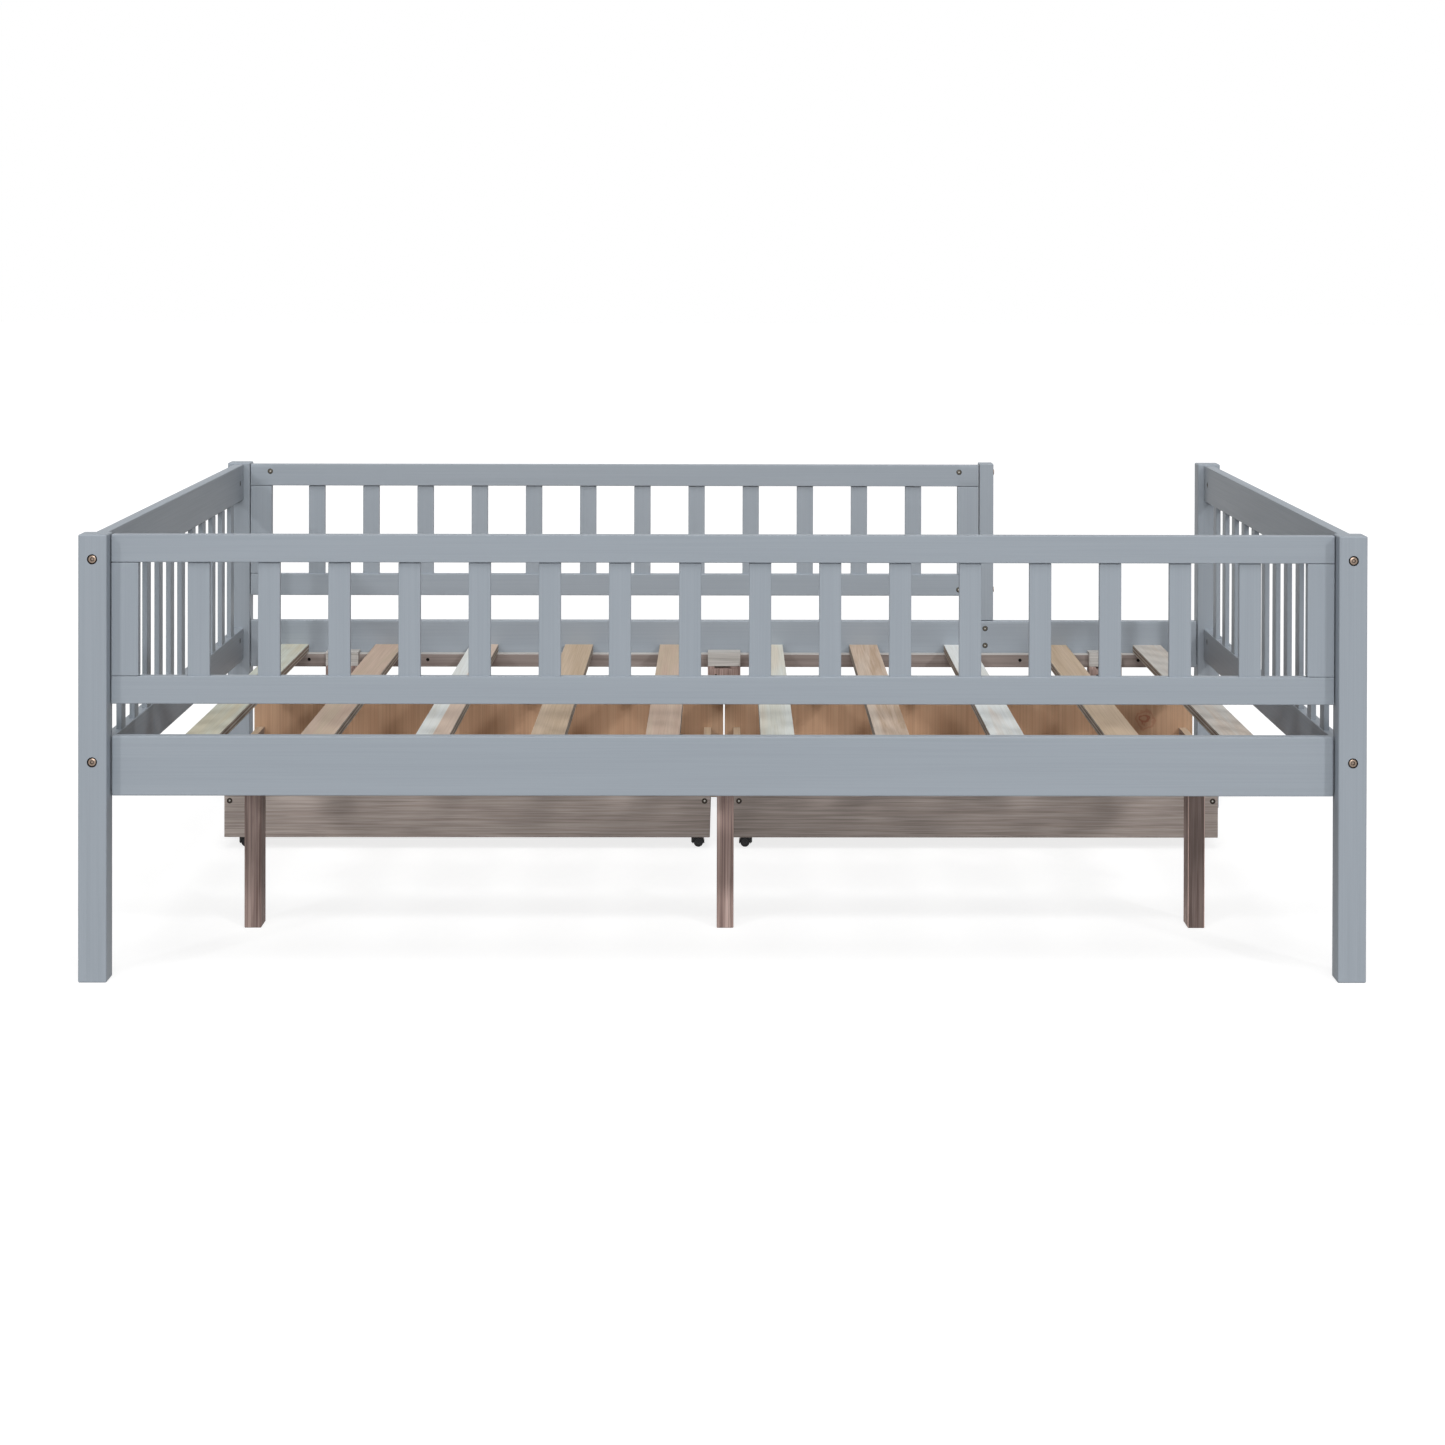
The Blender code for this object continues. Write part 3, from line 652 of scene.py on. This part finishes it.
# ---- bolts in the posts and barrel nuts in the rails
# a seat is the bore that a bolt's head lies in, and a recess is a share of its head's radius
fixings = {
    "postBoltX": 0.9875, "postBoltHeights": (0.6633, 0.3455), "postBolt": 0.0066,
    "guardBoltY": 0.6886, "guardHeights": (0.6850, 0.4455), "guardBolt": 0.0056,
    "seatDeep": 0.0030, "seatGap": 0.0014,
    "boltProud": -0.0003, "boltRecess": 0.52, "boltEase": 0.0016,
    "nutInset": 0.0410, "nut": 0.0048, "nutDeep": 0.0014, "nutGap": 0.0007,
    "nutProud": -0.0002, "nutRecess": 0.62, "nutEase": 0.0005,
}
nuts = []  # place and outward normal of each barrel nut, filled as the rails are made


def boltPlaces(name):
    # place, outward normal and head radius of each bolt in a corner post
    low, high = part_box(name)
    outX, outY = math.copysign(1, low.x), math.copysign(1, low.y)
    faceX = high.x if outX > 0 else low.x
    faceY = high.y if outY > 0 else low.y
    places = []
    for z in fixings["postBoltHeights"]:
        place = (outX * fixings["postBoltX"], faceY, z)
        places.append((place, (0, outY, 0), fixings["postBolt"]))
    if name != "post_front_right":  # no guard reaches this post
        for z in fixings["guardHeights"]:
            place = (faceX, outY * fixings["guardBoltY"], z)
            places.append((place, (outX, 0, 0), fixings["guardBolt"]))
    return places


def boreNuts(bm, low, high, run, z, inward):
    # two nuts on a rail's inner face, one near each end
    for along in (low[run] + fixings["nutInset"], high[run] - fixings["nutInset"]):
        if run == 0:
            place, normal = (along, high.y if inward > 0 else low.y, z), (0, inward, 0)
        else:
            place, normal = (high.x if inward > 0 else low.x, along, z), (inward, 0, 0)
        nuts.append((place, normal))
        cutBore(bm, place, normal, fixings["nut"] + fixings["nutGap"], fixings["nutDeep"], 1)
    markGrain(bm, bm.verts, (low + high) / 2, run)


# ---- posts, with the slots that the side rails hook into
post = {
    "ease": 0.0026, "easeSteps": 4, "slotWide": 0.004, "slotDeep": 0.010,
    "slotLow": 0.2853, "slotHigh": 0.390, "slotY": 0.687,
}
cornerPosts = ("post_back_left", "post_back_right", "post_front_left", "post_front_right")


def makePosts():
    for name in cornerPosts:
        low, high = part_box(name)
        bm = startMesh()
        addBoard(bm, low, high, 2, post["ease"], post["easeSteps"])
        inward = -1 if low.x > 0 else 1
        inner = low.x if inward < 0 else high.x
        halfTall = (post["slotHigh"] - post["slotLow"]) / 2
        centre = (inner, math.copysign(post["slotY"], low.y), post["slotLow"] + halfTall)
        half = (1.0, post["slotWide"] / 2, halfTall)  # the first isn't used, as the slot faces X
        cutPocket(bm, centre, (inward, 0, 0), half, post["slotDeep"])
        for place, normal, radius in boltPlaces(name):
            cutBore(bm, place, normal, radius + fixings["seatGap"], fixings["seatDeep"], 1)
        markGrain(bm, bm.verts, (low + high) / 2, 2)
        finishPainted(bm, "cornerPost." + ".".join(name.split("_")[1:]), name)


# ---- guards: a lower rail, two stiles and the slats between them, under a top rail
guard = {
    "railTall": 0.0435, "stileWide": 0.044, "slatThick": 0.010, "ease": 0.0014,
    "slatEase": 0.0012, "sink": 0.006, "gap": 0.0004, "endGap": 0.0011,
}
# slats of each guard: how many, their width, the margin beside them and their shift to the right
guardSlats = {"back": (16, 0.0350, 0.0743, 0.002), "front": (12, 0.0333, 0.0740, 0.0006)}


def makeGuard(side):
    inward = 1 if side == "back" else -1
    upper, lower = fixings["guardHeights"]
    low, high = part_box(f"{side}_guard_top_rail")
    ends = Vector((guard["endGap"], 0, 0))
    bm = startMesh()
    addBoard(bm, low + ends, high - ends, 0, guard["ease"])
    boreNuts(bm, low, high, 0, upper, inward)
    finishPainted(bm, f"{side}Guard.topRail", f"{side}_guard_top_rail")
    low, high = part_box(f"{side}_guard_slat_panel")
    bm = startMesh()
    railTop = low.z + guard["railTall"]
    addBoard(bm, low + ends, (high.x - ends.x, high.y, railTop), 0, guard["ease"])
    boreNuts(bm, low, high, 0, lower, inward)
    top = high.z - guard["gap"]
    foot = railTop + guard["gap"]
    stileWide = guard["stileWide"] - ends.x
    for x in (low.x + ends.x, high.x - guard["stileWide"]):
        addBoard(bm, (x, low.y, foot), (x + stileWide, high.y, top), 2, guard["ease"])
    count, wide, margin, shift = guardSlats[side]
    first = low.x + guard["stileWide"] + margin + shift
    last = high.x - guard["stileWide"] - margin + shift - wide
    midY = (low.y + high.y) / 2
    half = guard["slatThick"] / 2
    foot = railTop - guard["sink"]
    for i in range(count):
        x = first + (last - first) * i / (count - 1)
        addBoard(bm, (x, midY - half, foot), (x + wide, midY + half, top), 2, guard["slatEase"])
    finishPainted(bm, f"{side}Guard.slatPanel", f"{side}_guard_slat_panel")


# ---- short post: its lower part laps over the side rail's outer face, and its bolts hold the
# guard from the side, their heads standing on it
shortPost = {"gap": 0.0010, "ease": 0.0014, "headProud": 0.0018, "recess": 0.0025, "headEase": 0.0008}


def makeShortPost():
    low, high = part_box("front_guard_short_post")
    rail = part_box("side_rail_front")[1]
    gap = shortPost["gap"]
    outline = [
        (low.y, rail.z + gap), (rail.y + gap, rail.z + gap), (rail.y + gap, low.z),
        (high.y, low.z), (high.y, high.z), (low.y, high.z),
    ]
    bm = startMesh()
    addOutline(bm, outline, low.x + gap / 2, high.x, 2, shortPost["ease"])
    finishPiece(bm, "frontGuard.shortPost", [woodFinish("greyPaint")], "frame",
                ["front_guard_short_post"])


# ---- end panels: a lower rail with its slats, under a top rail
endPanel = {
    "slats": 11, "slatWide": 0.033, "slatThick": 0.009, "inset": 0.004, "backMargin": 0.140,
    "frontMargin": 0.110, "railTall": 0.064, "ease": 0.0015, "slatEase": 0.0013, "sink": 0.006,
}


def makeEnds():
    upper, lower = fixings["postBoltHeights"]
    for hand, side in (("left", -1), ("right", 1)):
        low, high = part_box(f"end_{hand}_top_rail")
        bm = startMesh()
        addBoard(bm, low, high, 1, endPanel["ease"])
        boreNuts(bm, low, high, 1, upper, -side)
        finishPainted(bm, f"{hand}End.topRail", f"end_{hand}_top_rail")
        low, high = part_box(f"end_{hand}_slat_panel")
        bm = startMesh()
        railTop = low.z + endPanel["railTall"]
        addBoard(bm, low, (high.x, high.y, railTop), 1, endPanel["ease"])
        boreNuts(bm, low, high, 1, lower, -side)
        x = (low.x + high.x) / 2 - side * endPanel["inset"]
        half = endPanel["slatThick"] / 2
        wide = endPanel["slatWide"]
        foot = railTop - endPanel["sink"]
        first = low.y + endPanel["backMargin"]
        last = high.y - endPanel["frontMargin"] - wide
        for i in range(endPanel["slats"]):
            y = first + (last - first) * i / (endPanel["slats"] - 1)
            addBoard(bm, (x - half, y, foot), (x + half, y + wide, high.z), 2, endPanel["slatEase"])
        finishPainted(bm, f"{hand}End.slatPanel", f"end_{hand}_slat_panel")


# ---- side rails, with the steel plates let into their ends
sideRail = {
    "ease": 0.0020, "plateThick": 0.0022, "plateWide": 0.012, "plateMargin": 0.006,
    "plateSink": 0.004, "plateEase": 0.0006,
}
# the bolts that hold the short post, seen on the front rail's inner face
shortPostBolts = {
    "heights": (0.3670, 0.3325), "aside": -0.002, "radius": 0.0046, "gap": 0.0009,
    "deep": 0.0016, "proud": 0.0002, "recess": 0.6, "ease": 0.0006,
}


def shortPostBoltPlaces():
    low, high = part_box("front_guard_short_post")
    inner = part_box("side_rail_front")[0].y
    x = (low.x + high.x) / 2 + shortPostBolts["aside"]
    return [((x, inner, z), (0, -1, 0)) for z in shortPostBolts["heights"]]


def makeSideRails():
    for side, inward in (("back", 1), ("front", -1)):
        low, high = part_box(f"side_rail_{side}")
        end = high.x - sideRail["plateThick"]
        bm = startMesh()
        addBoard(bm, (-end, low.y, low.z), (end, high.y, high.z), 0, sideRail["ease"])
        if side == "front":
            reach = shortPostBolts["radius"] + shortPostBolts["gap"]
            for place, normal in shortPostBoltPlaces():
                cutBore(bm, place, normal, reach, shortPostBolts["deep"], 1)
            markGrain(bm, bm.verts, (low + high) / 2, 0)
        finishPainted(bm, f"{side}Rail.board", f"side_rail_{side}")
        makeHookPlates(side, low, high, end)
        makeCleat(side, inward)


def makeHookPlates(side, low, high, end):
    midY = (low.y + high.y) / 2
    half = sideRail["plateWide"] / 2
    foot = low.z + sideRail["plateMargin"]
    top = high.z - sideRail["plateMargin"]
    bm = startMesh()
    for hand in (-1, 1):
        x0, x1 = sorted((hand * (end - sideRail["plateSink"]), hand * high.x))
        addBoard(bm, (x0, midY - half, foot), (x1, midY + half, top), 2, sideRail["plateEase"], 2)
    finishPiece(bm, f"{side}Rail.hookPlates", [plainFinish("plateSteel")], "frame")


# ---- cleats under the bed slats, with their screw holes; faces more level than top take a paler
# wood, painted light on the cleat's top
cleat = {
    "ease": 0.0012, "top": 0.5, "holes": 8, "spacing": 0.2400, "holeZ": 0.3062, "hole": 0.0034,
    "holeDeep": 0.009,
}


def makeCleat(side, inward):
    low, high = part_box(f"cleat_{side}")
    bm = startMesh()
    addBoard(bm, low, high, 0, cleat["ease"])
    # painted light: the upward faces take the paler wood, the rest the cleat's own
    for face in bm.faces:
        face.material_index = 1 if face.normal.z > cleat["top"] else 0
    for i in range(cleat["holes"]):
        x = (i - (cleat["holes"] - 1) / 2) * cleat["spacing"]
        place = (x, high.y if inward > 0 else low.y, cleat["holeZ"])
        cutBore(bm, place, (0, inward, 0), cleat["hole"], cleat["holeDeep"], 2)
    markGrain(bm, bm.verts, (low + high) / 2, 0)
    finishes = [woodFinish("cleatWood"), woodFinish("paleWood"), plainFinish("paintedHoleShade")]
    finishPiece(bm, f"{side}Cleat", finishes, "frame", [f"cleat_{side}"])


# ---- bed slats of plywood, from left to right; faces more level than flat show the veneer
bedSlats = {
    "ease": 0.0008, "flat": 0.7,
    "veneers": ("green", "peach", "half", "tan", "peach", "pale", "orange", "white", "tan", "mist"),
    "tones": (1.0, 0.97, 1.0, 0.97, 0.95, 1.0, 0.97, 1.0, 1.02, 1.0),
}


def makeBedSlats():
    for i, veneer in enumerate(bedSlats["veneers"]):
        node = f"bed_slat_{i + 1:02d}"
        low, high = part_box(node)
        bm = startMesh()
        addBoard(bm, low, high, 1, bedSlats["ease"], 2, bedSlats["tones"][i])
        for face in bm.faces:
            face.material_index = 0 if abs(face.normal.z) > bedSlats["flat"] else 1
        finishPiece(bm, f"bedSlat.{i + 1:02d}", [woodFinish(f"{veneer}Ply"), plyEdge()], "frame",
                    [node])


# ---- beam and legs
beam = {"ease": 0.0015, "tone": 0.85}
# tones of a leg's front, its flanks and the eased corners between them, partly the board's own tone
# and partly painted light and shade as light falls on each side, with painted highlights on some
# corners; and how much they change towards its top, a painted shade under the bed, and its foot;
# onFace and withinEase tell a face from its eased edge
legs = {
    "ease": 0.0016,
    "tones": {"left": (0.93, 0.95, 1.0), "middle": (1.33, 1.2, 1.5), "right": (0.52, 1.4, 2.8)},
    "top": 0.78, "foot": 1.13, "onFace": 0.0001, "withinEase": 0.98,
}


def makeSupports():
    low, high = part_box("support_beam")
    bm = startMesh()
    addBoard(bm, low, high, 0, beam["ease"], tone=beam["tone"])
    finishPiece(bm, "support.beam", [woodFinish("legWood")], "frame",
                ["support_beam"])
    for hand in ("left", "middle", "right"):
        makeLeg(hand)
        makeBlock(hand)


def makeLeg(hand):
    low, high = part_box(f"support_leg_{hand}")
    front, flank, corner = legs["tones"][hand]
    bm = startMesh()
    addBoard(bm, low, high, 2, legs["ease"], tone=front)
    shade = bm.verts.layers.float["tone"]
    ease = legs["ease"] * legs["withinEase"]
    # painted light and shade: flanks and eased corners set lighter or darker than the front
    for v in bm.verts:
        aside = min(v.co.x - low.x, high.x - v.co.x)
        if aside < legs["onFace"]:
            v[shade] = flank
        elif aside < ease and legs["onFace"] < v.co.y - low.y < ease:
            v[shade] = corner
        # painted shade: the upper half darker where the bed shades it, the foot lighter
        v[shade] *= legs["top" if v.co.z > (low.z + high.z) / 2 else "foot"]
    finishPiece(bm, f"support.leg.{hand}", [woodFinish("legWood")], "frame",
                [f"support_leg_{hand}"])


# ---- bearer blocks: a pale saddle notched over the cleat, and a brown block under it with a
# shallow slot between them and a nail hole
block = {
    "split": 0.2948, "ease": 0.0010, "gap": 0.0003, "tone": 1.18,
    "slotTall": 0.0050, "slotWide": 0.031, "slotDeep": 0.006, "slotAside": -0.0035,
    "nailAside": -0.0165, "nailZ": 0.2772, "nail": 0.0022, "nailDeep": 0.006,
}


def makeBlock(hand):
    low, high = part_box(f"bearer_block_{hand}")
    cleatLow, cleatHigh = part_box("cleat_front")
    split, ease, gap = block["split"], block["ease"], block["gap"]
    notch = cleatLow.y - gap
    bm = startMesh()
    outline = [
        (low.y, split), (notch, split), (notch, cleatHigh.z + gap), (high.y, cleatHigh.z + gap),
        (high.y, high.z), (low.y, high.z),
    ]
    addOutline(bm, outline, low.x, high.x, 0, ease)
    finishPiece(bm, f"block.saddle.{hand}", [woodFinish("paleWood")], "frame",
                [f"bearer_block_{hand}"])
    slotLow = split - block["slotTall"]
    inner = low.y + block["slotDeep"]
    below = cleatLow.z - gap
    centre = (low.x + high.x) / 2
    middle = centre + block["slotAside"]
    half = block["slotWide"] / 2
    bm = startMesh()
    addBoard(bm, low, (high.x, high.y, slotLow), 2, ease)
    nailPlace = (centre + block["nailAside"], low.y, block["nailZ"])
    cutBore(bm, nailPlace, (0, -1, 0), block["nail"], block["nailDeep"], 1)
    addBoard(bm, (low.x, inner, slotLow - ease), (high.x, high.y, below), 2, ease)
    for x0, x1 in ((low.x, middle - half), (middle + half, high.x)):
        addBoard(bm, (x0, low.y, slotLow - ease), (x1, inner + ease, split - gap), 2, ease)
    shade = bm.verts.layers.float["tone"]
    for v in bm.verts:
        v[shade] = block["tone"]
    finishPiece(bm, f"block.lower.{hand}", [woodFinish("legWood"), plainFinish("paintedHoleShade")],
                "frame", [f"bearer_block_{hand}"])


# ---- drawers: tones are a back board's at the bed's middle and near the bed's end, a painted
# shade that darkens the board towards the bed's middle, and reach is how far apart those are;
# inner and top tell a board's inner face and its top edge
drawer = {
    "ease": 0.0010, "frontEase": 0.0018, "reach": 0.95, "inner": -0.7, "top": 0.5,
    "tones": {"left": (0.89, 1.16), "right": (0.79, 1.05)},
    "screwInset": 0.0102, "screwZ": 0.0915, "screw": 0.0047, "screwGap": 0.0007,
    "screwDeep": 0.0014, "screwProud": -0.0001, "recess": 0.0033, "screwEase": 0.0006,
}


def makeDrawers():
    for hand in ("left", "right"):
        body = f"drawer_{hand}"
        low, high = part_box(f"{body}_front")
        bm = startMesh()
        addBoard(bm, low, high, 2, drawer["frontEase"])
        for face in bm.faces:
            face.material_index = 0 if face.normal.y < drawer["inner"] else 1
        finishes = [woodFinish("drawerTan"), woodFinish("greyPaint")]
        finishPiece(bm, f"{hand}Drawer.front", finishes, body, [f"{body}_front"])
        for part, run in (("back", 0), ("side_left", 1), ("side_right", 1), ("bottom", 0)):
            low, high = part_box(f"{body}_{part}")
            bm = startMesh()
            addBoard(bm, low, high, run, drawer["ease"])
            for face in bm.faces:
                isTop = face.normal.z > drawer["top"] and part != "bottom"
                face.material_index = 1 if isTop else 0
            if part == "back":
                addScrews(bm, low, high, hand, body)
                # painted shade: each back board darker towards the bed's middle, lighter towards its
                # end
                shade = bm.verts.layers.float["tone"]
                inner, outer = drawer["tones"][hand]
                for v in bm.verts:
                    v[shade] = inner + (outer - inner) * abs(v.co.x) / drawer["reach"]
            finish = "drawerTan" if part == "bottom" else "drawerBoard"
            finishes = [woodFinish(finish), woodFinish("tanPly"), plainFinish("paintedHoleShade")]
            label = f"{hand}Drawer.{part.replace('_', '.')}"
            finishPiece(bm, label, finishes, body, [f"{body}_{part}"])


def addScrews(board, low, high, hand, body):
    # one countersunk screw near each end of the drawer's back
    radius, deep = drawer["screw"], drawer["screwDeep"]
    normal = (0, -1, 0)
    bm = startMesh()
    for x in (low.x + drawer["screwInset"], high.x - drawer["screwInset"]):
        place = (x, low.y, drawer["screwZ"])
        cutBore(board, place, normal, radius + drawer["screwGap"], deep, 2)
        addHead(bm, place, normal, radius, deep, drawer["screwProud"], drawer["recess"], 4,
                drawer["screwEase"])
    markGrain(board, board.verts, (low + high) / 2, 0)
    finishHeads(bm, f"{hand}Drawer.screws", "screw", body)


# ---- casters keep the frame's own shapes
def makeCasters():
    for name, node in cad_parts.items():
        if name.endswith("_hood") or name.endswith("_wheels"):
            node.data.materials.clear()
            node.data.materials.append(plainFinish("blackNylon"))


# ---- heads of bolts, screws and barrel nuts
# socket is the recess's depth as a share of the head's, ring the width of the painted shade along the
# edge of its bottom
head = {"steps": 32, "easeSteps": 3, "socket": 0.6, "ring": 0.40}
# finishes of a head's rim, of the edge of its socket and of the socket's middle; the socket's edge
# is painted shade, so is a screw's whole rim, and the middle of screws and nuts is a painted glint
headFinishes = {
    "bolt": ("bronzeSteel", "bronzeShade", "bronzeSteel"),
    "screw": ("bronzeShade", "bronzeShade", "zincPaintedGlint"),
    "nut": ("dullSteel", "bronzeShade", "zincPaintedGlint"),
}


def addHead(bm, place, normal, radius, sunk, proud, recess, sides, ease):
    # a low round head seated in its bore, with a recess of so many sides in its top
    spot = standing(place, normal) @ Matrix.Translation((0, 0, proud))
    up = Vector(normal)
    tall = sunk + proud
    rim = bmesh.ops.create_circle(bm, segments=head["steps"], radius=radius, matrix=spot)
    drive = bmesh.ops.create_circle(bm, segments=sides, radius=recess, matrix=spot)
    rimEdges = edgesOf(rim["verts"])
    driveEdges = edgesOf(drive["verts"])
    bmesh.ops.triangle_fill(bm, edges=rimEdges + driveEdges, normal=up, use_beauty=True)
    sinkLoop(bm, rimEdges, up * -tall)
    socket = sinkLoop(bm, driveEdges, up * -tall * head["socket"])
    easeEdges(bm, rimEdges, ease, head["easeSteps"])
    # the socket's bottom: painted shade along its edge, round a middle in the third finish, a painted
    # glint on screws and nuts
    bmesh.ops.inset_region(bm, faces=socket, thickness=recess * head["ring"], depth=0.0)
    for face in {f for middle in socket for e in middle.edges for f in e.link_faces}:
        face.material_index = 2 if face in socket else 1


def finishHeads(bm, name, kind, body):
    finishes = [plainFinish(finish) for finish in headFinishes[kind]]
    finishPiece(bm, name, finishes, body, sharp=28, even=False)


def makeFixings():
    bm = startMesh()
    for name in cornerPosts:
        for place, normal, radius in boltPlaces(name):
            addHead(bm, place, normal, radius, fixings["seatDeep"], fixings["boltProud"],
                    radius * fixings["boltRecess"], 6, fixings["boltEase"])
    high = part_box("front_guard_short_post")[1]
    for z in fixings["guardHeights"]:
        place = (high.x, fixings["guardBoltY"], z)
        addHead(bm, place, (1, 0, 0), fixings["guardBolt"], 0.0, shortPost["headProud"],
                shortPost["recess"], 6, shortPost["headEase"])
    finishHeads(bm, "frameBolts", "bolt", "frame")
    bm = startMesh()
    radius = shortPostBolts["radius"]
    for place, normal in shortPostBoltPlaces():
        addHead(bm, place, normal, radius, shortPostBolts["deep"], shortPostBolts["proud"],
                radius * shortPostBolts["recess"], 6, shortPostBolts["ease"])
    finishHeads(bm, "shortPostBolts", "nut", "frame")
    bm = startMesh()
    radius = fixings["nut"]
    for place, normal in nuts:
        addHead(bm, place, normal, radius, fixings["nutDeep"], fixings["nutProud"],
                radius * fixings["nutRecess"], 6, fixings["nutEase"])
    finishHeads(bm, "barrelNuts", "nut", "frame")


makeCamera()
makeLights()
makeFloor()
print("camera, lamps and floor ready")
makePosts()
makeGuard("back")
makeGuard("front")
makeShortPost()
makeEnds()
print("posts, guards and ends ready")
makeSideRails()
makeBedSlats()
makeSupports()
print("rails, slats and supports ready")
makeDrawers()
makeCasters()
print("drawers and casters ready")
makeFixings()
print("bolts, nuts and screws ready")

bpy.context.scene.view_settings.view_transform = "Standard"
